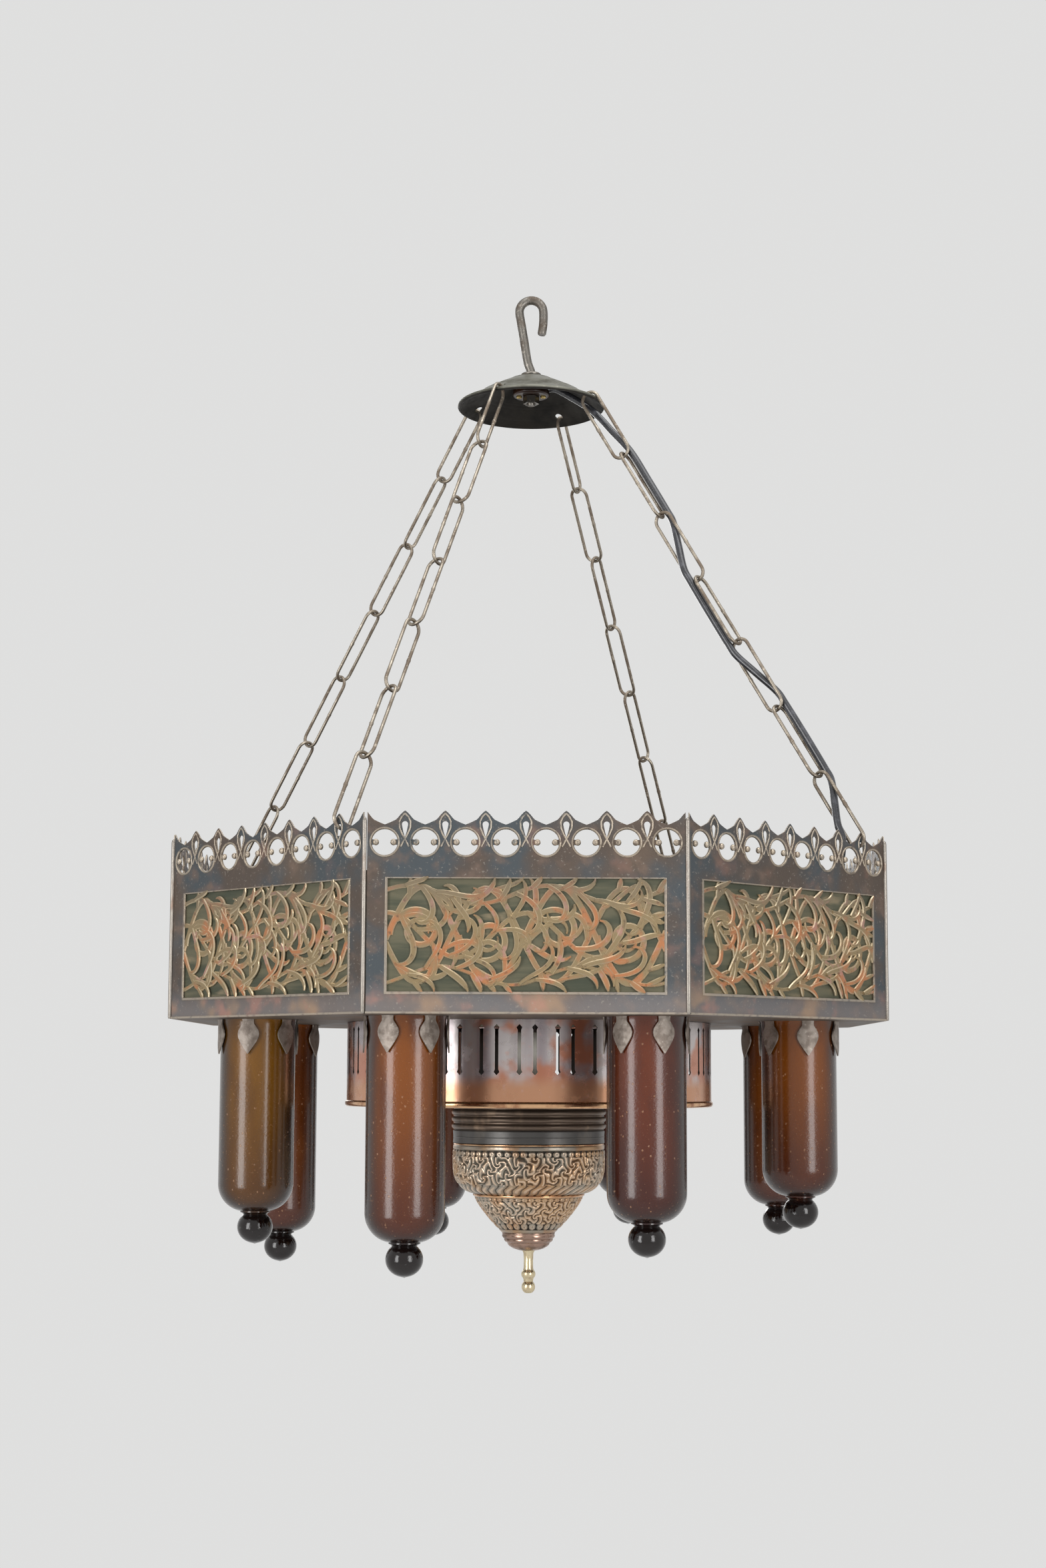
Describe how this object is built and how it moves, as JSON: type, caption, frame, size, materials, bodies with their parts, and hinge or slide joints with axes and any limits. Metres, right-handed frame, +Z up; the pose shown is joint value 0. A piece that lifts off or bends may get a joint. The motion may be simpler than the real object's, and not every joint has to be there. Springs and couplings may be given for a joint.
{
  "type": "pendant lamp",
  "caption": "Octagonal pierced-copper pendant lamp on chains, with hanging amber glass oil vessels round a slotted drum and a turned pendant.",
  "frame": {"origin": "inside of the top bend of the hook, where the lamp hangs", "axes": "+Z up along the hanging line; the front panel of the band faces -Y"},
  "size_m": [0.6032, 0.6032, 0.9035],
  "materials": {
    "iron": "brown-grey wrought iron wire",
    "chain_iron": "worn grey-brown iron",
    "zinc": "dull olive-grey sheet",
    "patina_copper": "copper sheet with dark slate and brown patina and worn edges",
    "green_paint": "streaky dark green paint",
    "dark_sheet": "dark brown sheet",
    "amber_glass": "seedy amber glass",
    "polished_copper": "polished red copper",
    "dark_copper": "darkened copper",
    "gilt_copper": "embossed golden-brown copper with dark recesses",
    "pale_brass": "pale worn brass",
    "bakelite": "dark brown bakelite",
    "bulb_glass": "frosted glass",
    "flex_rubber": "glossy dark grey flex"
  },
  "bodies": {
    "hook": {"hook": "iron", "hook_nut": "iron"},
    "lamp": {"canopy": "zinc", "terminal_block": "bakelite", "chain_front_link_1": "chain_iron", "chain_front_link_2": "chain_iron", "chain_front_link_3": "chain_iron", "chain_front_link_4": "chain_iron", "chain_front_link_5": "chain_iron", "chain_front_link_6": "chain_iron", "chain_front_link_7": "chain_iron", "chain_right_link_1": "chain_iron", "chain_right_link_2": "chain_iron", "chain_right_link_3": "chain_iron", "chain_right_link_4": "chain_iron", "chain_right_link_5": "chain_iron", "chain_right_link_6": "chain_iron", "chain_right_link_7": "chain_iron", "chain_back_link_1": "chain_iron", "chain_back_link_2": "chain_iron", "chain_back_link_3": "chain_iron", "chain_back_link_4": "chain_iron", "chain_back_link_5": "chain_iron", "chain_back_link_6": "chain_iron", "chain_back_link_7": "chain_iron", "chain_left_link_1": "chain_iron", "chain_left_link_2": "chain_iron", "chain_left_link_3": "chain_iron", "chain_left_link_4": "chain_iron", "chain_left_link_5": "chain_iron", "chain_left_link_6": "chain_iron", "chain_left_link_7": "chain_iron", "panel_1": "patina_copper", "panel_2": "patina_copper", "panel_3": "patina_copper", "panel_4": "patina_copper", "panel_5": "patina_copper", "panel_6": "patina_copper", "panel_7": "patina_copper", "panel_8": "patina_copper", "lining": "green_paint", "floor_plate": "dark_sheet", "drum": "polished_copper", "boss_moulding": "dark_copper", "pendant_bowl": "gilt_copper", "pendant_cone": "gilt_copper", "finial": "pale_brass", "centre_bolt": "iron", "holder_strap": "iron", "lampholder": "bakelite", "bulb": "bulb_glass", "flex": "flex_rubber"},
    "glass_1_vessel": {"glass_1": "amber_glass"},
    "glass_2_vessel": {"glass_2": "amber_glass"},
    "glass_3_vessel": {"glass_3": "amber_glass"},
    "glass_4_vessel": {"glass_4": "amber_glass"},
    "glass_5_vessel": {"glass_5": "amber_glass"},
    "glass_6_vessel": {"glass_6": "amber_glass"},
    "glass_7_vessel": {"glass_7": "amber_glass"},
    "glass_8_vessel": {"glass_8": "amber_glass"}
  },
  "joints": [
    {"name": "canopy_swivel", "type": "hinge", "parent": "hook", "child": "lamp", "pos_m": [0, 0, -0.07], "axis": [0, 0, 1], "continuous": true},
    {"name": "glass_1_lift", "type": "slide", "parent": "lamp", "child": "glass_1_vessel", "axis": [0, 0, 1], "range_m": [0, 0.24]},
    {"name": "glass_2_lift", "type": "slide", "parent": "lamp", "child": "glass_2_vessel", "axis": [0, 0, 1], "range_m": [0, 0.15]},
    {"name": "glass_3_lift", "type": "slide", "parent": "lamp", "child": "glass_3_vessel", "axis": [0, 0, 1], "range_m": [0, 0.24]},
    {"name": "glass_4_lift", "type": "slide", "parent": "lamp", "child": "glass_4_vessel", "axis": [0, 0, 1], "range_m": [0, 0.15]},
    {"name": "glass_5_lift", "type": "slide", "parent": "lamp", "child": "glass_5_vessel", "axis": [0, 0, 1], "range_m": [0, 0.24]},
    {"name": "glass_6_lift", "type": "slide", "parent": "lamp", "child": "glass_6_vessel", "axis": [0, 0, 1], "range_m": [0, 0.15]},
    {"name": "glass_7_lift", "type": "slide", "parent": "lamp", "child": "glass_7_vessel", "axis": [0, 0, 1], "range_m": [0, 0.24]},
    {"name": "glass_8_lift", "type": "slide", "parent": "lamp", "child": "glass_8_vessel", "axis": [0, 0, 1], "range_m": [0, 0.15]}
  ]
}
